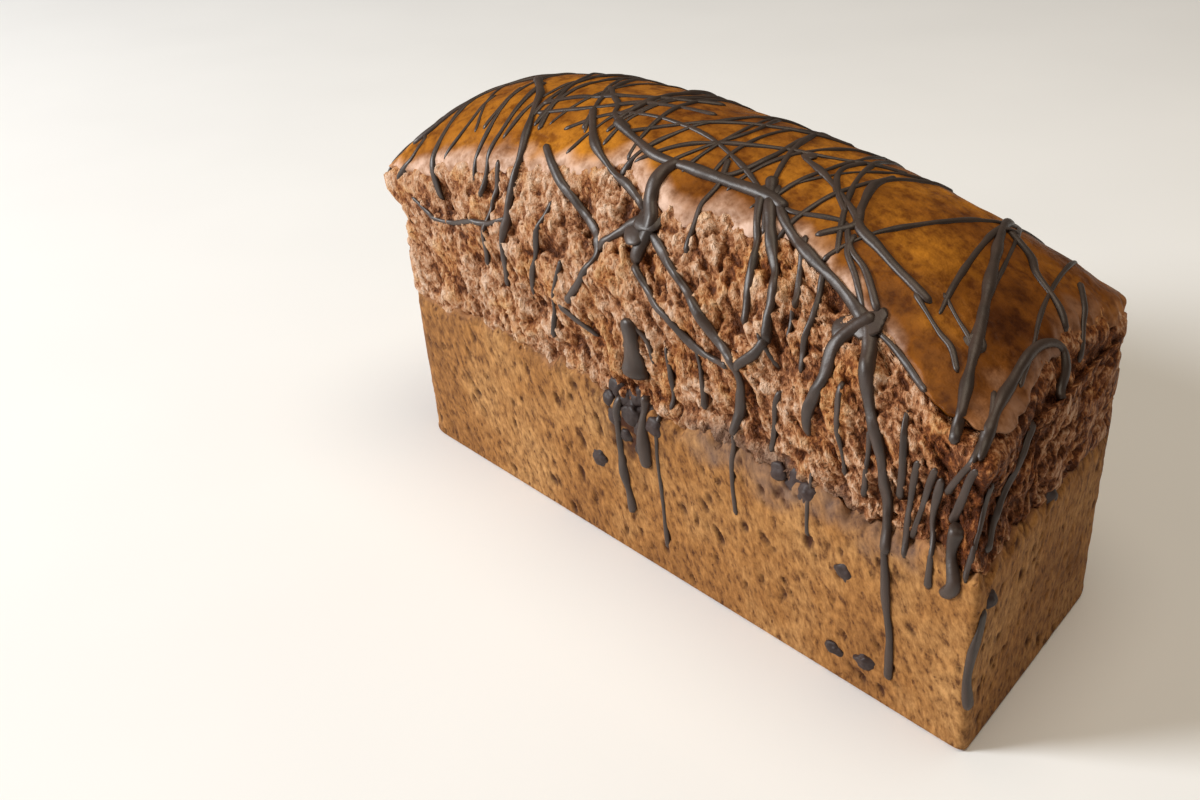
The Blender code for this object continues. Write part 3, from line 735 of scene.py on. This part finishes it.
body, places = box_grid(CRUST_GRID)
u, v, w = places.T
u, v = round_square(ease(u), ease(v), CRUST_CORNER)
angles = np.linspace(-END_ANGLES, END_ANGLES, 2 * END_ANGLES + 1)
reaches = {}
for side in (-1, 1):
    reach = end_edge(angles, side)
    reaches[side] = reach + MM * ragged(on_skin(side * reach, angles)[0][..., 1], side * 2)
along = u * LENGTH / 2
for _ in range(4):
    far_angle = FAR_EDGE_ANGLE - ragged(along, 1) / DEGREE_ARC
    near_angle = np.interp(along, EDGE_ALONG, EDGE_ANGLE) + ragged(along, -1) / DEGREE_ARC
    angle = far_angle + (near_angle - far_angle) * (1 - v) / 2
    left, right = np.interp(angle, angles, reaches[-1]), np.interp(angle, angles, reaches[1])
    along = -left + (left + right) * (u + 1) / 2
skin, out = on_skin(along, angle)
gap = np.maximum(crust_gap(skin), 0)
sink = EDGE_SINK * (1 - smooth_step(gap, -1.5, 3.2)) + 0.2 * MM
lift = -sink - CRUST_THICKNESS * (1 - w) / 2
swell = 0.8 * lumps(skin, 28 * MM) + 0.35 * lumps(skin, 9 * MM, 2.0) + 0.12 * lumps(skin, 3 * MM, 4.0)
swell += 0.5 * (1 - smooth_step(gap, 2, 9)) * lumps(skin, 4.5 * MM, 14.0)
towards_right = smooth_step(along, 48 * MM, 80 * MM)
lit_side = smooth_step(angle, 0, 20) * (1 - 0.8 * towards_right)
# Pale near the crust's edge where it was pulled thin, plus a painted sheen on the lit near side that fades
# towards the right
stretched = 1 - smooth_step(gap + 3.5 * lumps(skin, 7 * MM, 33.0), 0.5, 8 - 3 * towards_right)
stretched *= 0.35 + 0.6 * lit_side - 0.15 * towards_right
points = skin + out * (lift + np.minimum(swell * MM, MOST_SWELL))[:, None]
settle(body, points, stretched=stretched)
crust_tree = BVHTree.FromBMesh(body)
add_piece("crust", body, baked_crust())

# Chocolate chips were stirred into the batter.  Where one lies at the skin it shows as a low, soft
# lump, half melted, dark and a little glossy.  Each row is along, angle, and width in mm.
CHIPS = (
    (73, 108, 7),
    (55, 85, 9),
    (-15, 116, 8),
    (69, 132, 6),
    (78, 131, 7),
    (109, 97, 5),
    (140, 60, 7),
    (-70, -104, 7),
    (24, -112, 8),
    (64, -96, 7),
    (-40, -124, 6),
    (-106, 108, 7),
)
CLUMP = (
    (-8, 82, 6),
    (-5, 86, 7),
    (0, 83, 7),
    (-1, 90, 8),
    (4, 87, 7),
    (3, 94, 6),
    (8, 90, 6),
    (-7, 94, 6),
    (-3, 99, 5),
    (3, 102, 5),
    (-10, 88, 5),
    (50, 83, 5),
    (59, 86, 6),
)
CHIP_STAND = 0.45 * MM
CLUMP_STAND = 0.9 * MM
CHIP_FLATNESS = 0.6
# Nothing set on the loaf reaches further along it than this
END_LIMIT = 112.6 * MM
SURFACES = (formed_tree, torn_tree, crust_tree)
LOOK_FROM = 20 * MM
LOOK_DEPTH = 40 * MM


def surface_at(point, out):
    """The outermost point of the finished surface under a place, looking in from outside."""
    start = Vector(point + PLAN_SHIFT + out * LOOK_FROM)
    heading = Vector(-out)
    best = LOOK_DEPTH
    for tree in SURFACES:
        found = tree.ray_cast(start, heading, best)
        if found[0] is not None:
            best = min(best, found[3])
    if best >= LOOK_DEPTH:
        return np.array(point)
    return np.array(start + heading * best) - PLAN_SHIFT


def chocolate(name, colour, roughness, gloss):
    """Dull dark chocolate, a little paler in patches."""
    made, tree, shader, where = new_material(name, roughness)
    shade = grain(tree, where, 130, 2, 0.5)
    pale = tuple(1.7 * channel for channel in colour)
    tree.links.new(ramp(tree, shade, (0.35, colour), (0.7, pale)), shader.inputs["Base Color"])
    shader.inputs["Specular IOR Level"].default_value = gloss
    relief(tree, shader, grain(tree, where, 420, 3, 0.55), 0.0003, 0.5)
    return made


chips = bmesh.new()
shown_chips = [(*chip, CHIP_STAND) for chip in CHIPS] + [(*chip, CLUMP_STAND) for chip in CLUMP]
for along, angle, width, stand in shown_chips:
    skin, out = on_skin(np.array(along * MM), np.array(float(angle)))
    middle = surface_at(skin, out) + out * (stand - CHIP_FLATNESS * width * MM / 2)
    axis = Vector(out)
    ball = bmesh.ops.create_icosphere(chips, subdivisions=4, radius=width * MM / 2)
    for vert in ball["verts"]:
        bulge = noise.noise(Vector(vert.co) / (2.6 * MM) + Vector((along, angle, 0)))
        bulge += 0.4 * noise.noise(Vector(vert.co) / (1.2 * MM) + Vector((angle, along, 0)))
        shaped = vert.co * (0.98 + 0.24 * bulge)
        shaped -= axis * (1 - CHIP_FLATNESS) * shaped.dot(axis)
        vert.co = shaped + Vector(middle + PLAN_SHIFT)
        vert.co.x = min(vert.co.x, END_LIMIT)
add_piece("chips", chips, chocolate("chocolate chip", (0.026, 0.014, 0.012), 0.55, 0.35))

# Melted chocolate was drizzled back and forth over the cooled loaf from a spoon: it crosses the crust
# in strands, pools where they meet, and runs down the sides in drips.
STRAND_STEP = 0.9 * MM
STRAND_ROUND = 14
DRIP_ANGLE = 70
THICK_RISE = 0.42
THIN_RISE = 0.36
FINE_COUNT = 26
# Each strand: its width at the start and at the end in mm, then the places it passes
THICK_STRANDS = (
    (3.4, 4.2, ((-2, 20), (-4, 24), (-3, 30), (0, 34), (0, 38), (-1, 44))),
    (2.4, 2.4, ((-46, 27), (-39, 31), (-33, 34), (-27, 36), (-20, 39), (-16, 42), (-15, 48), (-24, 60))),
    (2.6, 2.6, ((-15, 44), (-9, 39), (-6, 36), (-1, 33))),
    (2.3, 2.3, ((-42, 14), (-30, 23), (-20, 27), (-12, 29), (-4, 32))),
    (2.0, 2.0, ((-1, 44), (5, 48), (10, 51), (15, 53), (24, 57), (35, 58))),
    (2.4, 2.6, ((1, 36), (10, 41), (20, 46), (29, 52), (36, 56), (38, 60), (37, 67), (36, 78))),
    (2.1, 2.1, ((37, 58), (40, 55), (43, 52), (45, 48))),
    (2.1, 2.1, ((24, 17), (25, 21), (31, 30), (34, 36), (37, 47))),
    (2.7, 2.7, ((22, 14), (28, 21), (35, 29), (41, 36), (44, 45), (45, 49))),
    (2.4, 2.6, ((28, 19), (36, 24), (43, 27), (55, 31), (66, 36))),
    (3.2, 2.1, ((66, 36), (69, 40), (74, 51), (80, 62), (84, 77), (86, 92))),
    (2.0, 1.7, ((85, 87), (86, 98), (86, 109), (86, 119), (84, 130))),
    (3.8, 2.3, ((67, 34), (62, 43), (62, 51), (59, 62), (58, 67))),
    (2.0, 1.8, ((66, 36), (75, 39), (85, 45))),
    (2.7, 2.4, ((58, -34), (64, -20), (75, 0), (82, 14), (87, 26), (92, 43), (94, 53))),
    (2.3, 2.0, ((64, -22), (74, -19), (80, -14), (91, -11), (97, -8))),
    (2.4, 2.4, ((99, 54), (98, 39), (98, 30), (97, 11), (100, -1), (104, 0), (108, 5), (111, 12))),
    (2.3, 2.4, ((-78, 4), (-70, 10), (-63, 16), (-53, 30), (-51, 43), (-52, 52), (-53, 64))),
    (3.0, 3.0, ((-30, 16), (-18, 19), (-8, 21), (9, 20), (24, 19), (32, 20))),
    (4.6, 6.1, ((0, 57), (1, 62), (1, 68), (1, 75))),
    (2.3, 3.4, ((-6, 85), (-6, 95), (-5, 112), (-2, 126))),
    (3.0, 3.8, ((4, 80), (4, 95), (5, 107))),
    (2.6, 2.3, ((101, 73), (101, 82), (102, 90), (100, 96))),
    (2.3, 2.1, ((108, 98), (107, 104), (103, 118), (101, 128))),
    (2.3, 2.3, ((-44, -38), (-34, -14), (-30, 16))),
    (2.3, 2.1, ((-96, 36), (-88, 12), (-84, -10), (-90, -36))),
)
THIN_STRANDS = (
    (1.7, 1.5, ((-99, 8), (-95, 30), (-93, 34), (-93, 41), (-97, 47))),
    (1.9, 1.7, ((-90, 12), (-86, 31), (-85, 36), (-84, 41), (-83, 47))),
    (1.5, 1.4, ((-74, 12), (-70, 27), (-69, 33), (-68, 40))),
    (1.7, 1.5, ((-70, 8), (-66, 22), (-65, 32), (-64, 37), (-65, 43))),
    (1.5, 1.5, ((-92, 50), (-85, 53), (-77, 52), (-67, 50), (-57, 48), (-50, 45))),
    (1.5, 1.4, ((8, 14), (12, 21), (12, 27), (13, 31), (14, 35), (15, 38))),
    (1.4, 1.2, ((41, 24), (44, 30), (46, 34), (48, 38), (49, 42), (50, 46))),
    (1.5, 1.4, ((50, 29), (51, 32), (53, 37), (54, 42), (54, 46), (55, 52))),
    (1.5, 1.7, ((46, 16), (52, 22), (58, 25), (63, 29), (67, 33))),
    (1.4, 1.2, ((70, 24), (75, 27), (80, 30), (84, 32), (88, 37))),
    (1.2, 1.2, ((74, 19), (80, 23), (86, 27), (90, 33))),
    (1.9, 1.7, ((84, -30), (90, -25), (96, -20), (101, -16), (105, -14))),
    (1.4, 1.1, ((36, 78), (36, 95), (37, 107))),
    (1.2, 1.0, ((60, 78), (60, 101))),
    (1.5, 1.2, ((9, 85), (9, 100), (10, 115), (11, 131))),
    (1.7, 1.5, ((-27, 62), (-22, 64), (-15, 67))),
    (1.4, 1.1, ((2, 58), (7, 62), (8, 67))),
    (1.4, 1.1, ((43, 48), (48, 53))),
    (1.7, 1.5, ((96, 36), (98, 44), (98, 54), (97, 66))),
    (1.7, 1.2, ((95, 62), (96, 75), (97, 82), (97, 96))),
    (1.5, 1.2, ((93, 60), (93, 73), (92, 85))),
    (2.2, 2.4, ((20, 2), (29, 5), (38, 9), (46, 13), (50, 16), (56, 18), (64, 21), (74, 24))),
    (2.1, 2.0, ((38, -10), (40, 0), (45, 10), (48, 16), (43, 23))),
    (1.8, 1.7, ((29, -10), (30, 0), (36, 8), (44, 14))),
    (1.7, 1.5, ((28, 20), (34, 20), (40, 18), (46, 16))),
    (1.5, 1.4, ((50, 18), (52, 23), (58, 28), (64, 34))),
    (2.0, 1.8, ((-50, 3), (-43, 7), (-37, 10), (-33, 14), (-24, 17))),
    (2.0, 2.0, ((-60, 17), (-52, 11), (-45, 8), (-28, 0), (-18, -8))),
    (1.7, 1.8, ((-58, 20), (-47, 15), (-38, 11), (-30, 6), (-12, 0))),
    (1.8, 1.8, ((-2, 20), (12, 18), (15, 7), (12, -6))),
    (1.7, 1.8, ((-24, 18), (-14, 10), (-6, 2), (6, -8), (16, -20))),
    (1.5, 1.7, ((-14, 24), (-4, 14), (8, 6), (24, -4), (36, -18))),
    (1.5, 1.5, ((-44, 22), (-34, 14), (-22, 10), (-4, 10), (12, 14), (22, 18))),
    (1.5, 1.5, ((-6, 24), (0, 12), (2, 0), (-4, -14))),
    (1.5, 1.3, ((-104, 22), (-102, 34), (-103, 46))),
    (1.4, 1.2, ((-80, 16), (-79, 28), (-80, 38))),
    (1.6, 1.4, ((-60, 34), (-60, 46), (-61, 60))),
    (1.5, 1.3, ((-35, 38), (-38, 50), (-42, 64))),
    (1.6, 1.2, ((-27, 50), (-30, 62), (-31, 74))),
    (1.4, 1.2, ((12, 60), (14, 70), (14, 80))),
    (1.5, 1.3, ((22, 56), (25, 66), (26, 74))),
    (1.4, 1.2, ((50, 58), (48, 68), (47, 78))),
    (1.6, 1.3, ((67, 50), (68, 62), (70, 74))),
    (1.5, 1.3, ((76, 58), (77, 68), (77, 78))),
    (1.6, 1.4, ((83, 50), (86, 62), (87, 74))),
    (1.5, 1.3, ((89, 60), (90, 74), (91, 90))),
    (1.6, 1.4, ((99, 56), (100, 66), (100, 74))),
    (1.5, 1.3, ((104, 58), (105, 72), (104, 88))),
    (1.6, 1.4, ((109, 30), (110, 50), (109, 66), (108, 80))),
)


def centre_line(places):
    """Points along a strand, even steps apart, draped over the finished surface, and the way out there."""
    route = np.array(places, float)
    knots = np.arange(len(route))
    at = np.linspace(0, len(route) - 1, 30 * len(route))
    along = curve_through(at, knots, route[:, 0]) * MM
    line, out = on_skin(along, curve_through(at, knots, route[:, 1]))
    run = np.append(0, np.cumsum(np.linalg.norm(np.diff(line, axis=0), axis=1)))
    even = np.linspace(0, run[-1], max(6, round(run[-1] / STRAND_STEP)))
    line = np.stack([np.interp(even, run, line[:, i]) for i in range(3)], -1)
    out = np.stack([np.interp(even, run, out[:, i]) for i in range(3)], -1)
    return line, out / np.linalg.norm(out, axis=1, keepdims=True)


def smoothed(values, times):
    for _ in range(times):
        values[1:-1] = (values[:-2] + 2 * values[1:-1] + values[2:]) / 4
    return values


def draped(lift, times):
    """Heights of a thick liquid laid over bumps: it bridges the small hollows and keeps over the bumps."""
    smooth = smoothed(lift.copy(), times)
    kept = np.maximum(smooth, 0.25 * smooth + 0.75 * lift)
    return np.maximum(smoothed(kept, 2), lift - 0.25 * MM)


def strand(body, start_width, end_width, places, rise, seed):
    """One strand: a closed round-topped rope of chocolate that follows the surface, narrow at its ends."""
    line, out = centre_line(places)
    count = len(line)
    length = STRAND_STEP * count
    heading = np.gradient(line, axis=0)
    across = np.cross(heading, out)
    across = across / np.linalg.norm(across, axis=1, keepdims=True)
    t = np.linspace(0, 1, count)
    waving = [noise.noise(Vector((seed * 3.7, k * STRAND_STEP / (7 * MM), 0.5))) for k in range(count)]
    wave = np.array(waving)
    from_end = np.minimum(t, 1 - t) * length
    near_end = np.clip(from_end / (0.6 * start_width * MM), 0, 1)
    taper = 0.4 + 0.6 * np.sqrt(1 - (1 - near_end) ** 2)
    runs_down = places[-1][1] > DRIP_ANGLE and places[-1][1] > places[0][1]
    bead = 1 + 0.2 * runs_down * np.exp(-((1 - t) * length / (1.3 * end_width * MM) - 0.6) ** 2)
    half = (start_width + (end_width - start_width) * t) * MM / 2 * taper * bead * (1 + 0.45 * wave)
    lanes = np.linspace(-1, 1, 5)
    lifts = []
    for lane in lanes:
        places_on = line + across * (half * lane)[:, None]
        hits = np.array([surface_at(p, o) for p, o in zip(places_on, out)])
        lifts.append(draped(np.einsum("ij,ij->i", hits - places_on, out), 6))
    lifts = np.array(lifts)
    highest = lifts.max(axis=0)
    lifts = np.maximum(lifts * 0.6 + highest * 0.4, highest - 0.7 * MM)
    lifts = np.array([smoothed(lift.copy(), 2) for lift in lifts])
    rope = bmesh.new()
    bmesh.ops.create_cone(rope, cap_ends=True, segments=STRAND_ROUND, radius1=1, radius2=1, depth=2)
    upright = [edge for edge in rope.edges if abs(edge.verts[0].co.z - edge.verts[1].co.z) > 1]
    bmesh.ops.subdivide_edges(rope, edges=upright, cuts=count - 2, use_grid_fill=True)
    for vert in rope.verts:
        k = int(round((vert.co.z + 1) / 2 * (count - 1)))
        side, top = vert.co.x, vert.co.y
        base = np.interp(side, lanes, lifts[:, k])
        height = rise * 2 * half[k] * top if top > 0 else top * (1.2 * MM + 0.3 * half[k])
        vert.co = Vector(line[k] + across[k] * half[k] * side + out[k] * (base + height) + PLAN_SHIFT)
        vert.co.x = min(vert.co.x, END_LIMIT)
    bmesh.ops.recalc_face_normals(rope, faces=rope.faces)
    if rope.calc_volume(signed=True) < 0:
        bmesh.ops.reverse_faces(rope, faces=rope.faces)
    joined = bpy.data.meshes.new("strand")
    rope.to_mesh(joined)
    rope.free()
    body.from_mesh(joined)
    bpy.data.meshes.remove(joined)


def fine_strands(count):
    """Routes of the finest strands, flung across the crust in long slanting arcs."""
    draws = np.random.default_rng(11)
    routes = []
    for k in range(count):
        start = -100 + 175 * (k + draws.uniform(0, 1)) / count
        run = draws.uniform(8, 42) * draws.choice((-0.5, 1, 1))
        bow = draws.uniform(-7, 7)
        angles = np.linspace(draws.uniform(-52, -30), draws.uniform(18, 30), 6)
        share = np.linspace(0, 1, 6)
        alongs = np.clip(start + run * share + bow * np.sin(np.pi * share), -100, 100)
        width = draws.uniform(1.1, 1.8)
        routes.append((width, width * 0.9, tuple(zip(alongs, angles))))
    return routes


# Pools: along, angle, and width in mm
POOLS = (
    (66, 36, 8),
    (62, 39, 6),
    (-1, 34, 8),
    (-3, 38, 7),
    (24, 18, 6.5),
    (1, 69, 7.5),
    (1, 63, 7),
    (87, 27, 5),
    (64, -22, 5),
    (20, 1, 5),
)
POOL_FLATNESS = 0.24


def pool(body, along, angle, width):
    """A low blob of chocolate where strands met and ran together."""
    skin, out = on_skin(np.array(along * MM), np.array(float(angle)))
    middle = Vector(surface_at(skin, out) + PLAN_SHIFT)
    axis = Vector(out)
    ball = bmesh.ops.create_icosphere(body, subdivisions=3, radius=width * MM / 2)
    for vert in ball["verts"]:
        bulge = 1 + 0.45 * noise.noise(Vector(vert.co) / (3.5 * MM) + Vector((along, angle, 7)))
        over = vert.co.dot(axis)
        vert.co = middle + (vert.co - axis * over) * bulge + axis * over * POOL_FLATNESS


drizzle = chocolate("chocolate drizzle", (0.03, 0.0165, 0.011), 0.46, 0.55)
thick = bmesh.new()
for place in POOLS:
    pool(thick, *place)
for seed, row_of in enumerate(THICK_STRANDS):
    strand(thick, *row_of, THICK_RISE, seed)
add_piece("thick_drizzle", thick, drizzle)
thin = bmesh.new()
for seed, row_of in enumerate(THIN_STRANDS + tuple(fine_strands(FINE_COUNT))):
    strand(thin, *row_of, THIN_RISE, 40 + seed)
add_piece("thin_drizzle", thin, drizzle)

# The loaf stands on a wide sheet of white paper in a bright room, lit softly from the left and front.
CAMERA_PLACE = np.array([229.985, -245.625, 220.058]) * MM + PLAN_SHIFT
# Azimuth, elevation and roll, in degrees
CAMERA_TURN = (50.265, 28.989, -2.834)
FOCAL_PIXELS = 1348.766
PICTURE_WIDTH = 1200
SENSOR = 36.0


def floor_sheet():
    made, tree, shader, where = new_material("white paper", 0.75)
    patches = grain(tree, where, 9, 2, 0.5)
    tone = ramp(tree, patches, (0.3, (0.9, 0.9, 0.905)), (0.7, (0.925, 0.925, 0.93)))
    tree.links.new(tone, shader.inputs["Base Color"])
    return made


sheet = bmesh.new()
bmesh.ops.create_grid(sheet, x_segments=2, y_segments=2, size=4)
floor_mesh = bpy.data.meshes.new("floor")
sheet.to_mesh(floor_mesh)
sheet.free()
floor_mesh.materials.append(floor_sheet())
floor = bpy.data.objects.new("floor", floor_mesh)
bpy.context.scene.collection.objects.link(floor)

azimuth, elevation, roll_by = np.radians(CAMERA_TURN)
flat_part = np.cos(elevation)
back = np.array([np.sin(azimuth) * flat_part, -np.cos(azimuth) * flat_part, np.sin(elevation)])
level = np.array([np.cos(azimuth), np.sin(azimuth), 0.0])
upward = np.cross(back, level)
camera = bpy.data.objects.new("camera", bpy.data.cameras.new("camera"))
camera.data.sensor_width = SENSOR
camera.data.lens = FOCAL_PIXELS / PICTURE_WIDTH * SENSOR
camera.data.clip_start = 0.01
camera.data.clip_end = 20
turned = Matrix.Identity(4)
for axis in range(3):
    turned[axis][0] = np.cos(roll_by) * level[axis] + np.sin(roll_by) * upward[axis]
    turned[axis][1] = np.cos(roll_by) * upward[axis] - np.sin(roll_by) * level[axis]
    turned[axis][2] = back[axis]
    turned[axis][3] = CAMERA_PLACE[axis]
camera.matrix_world = turned
bpy.context.scene.collection.objects.link(camera)
bpy.context.scene.camera = camera

# Lights: name, place and width in metres, watts, colour
LIGHTS = (
    ("window", (-1.12, -1.43, 0.95), 0.7, 48.0, (0.96, 0.985, 1.0)),
    ("room", (0.15, 0.1, 1.3), 1.0, 7.2, (1.0, 0.88, 0.7)),
)
ROOM_COLOUR = (1.0, 0.89, 0.74, 1)
ROOM_STRENGTH = 0.16
AIM = Vector((0, 0, 0.05))
for name, place, size, power, colour in LIGHTS:
    lamp = bpy.data.objects.new(name, bpy.data.lights.new(name, "AREA"))
    lamp.data.shape = "DISK"
    lamp.data.size = size
    lamp.data.energy = power
    lamp.data.color = colour
    lamp.location = place
    lamp.rotation_euler = (AIM - Vector(place)).to_track_quat("-Z", "Y").to_euler()
    bpy.context.scene.collection.objects.link(lamp)

sky = bpy.data.worlds.new("room light")
sky.use_nodes = True
sky.node_tree.nodes["Background"].inputs[0].default_value = ROOM_COLOUR
sky.node_tree.nodes["Background"].inputs[1].default_value = ROOM_STRENGTH
bpy.context.scene.world = sky
bpy.context.scene.view_settings.view_transform = "Standard"
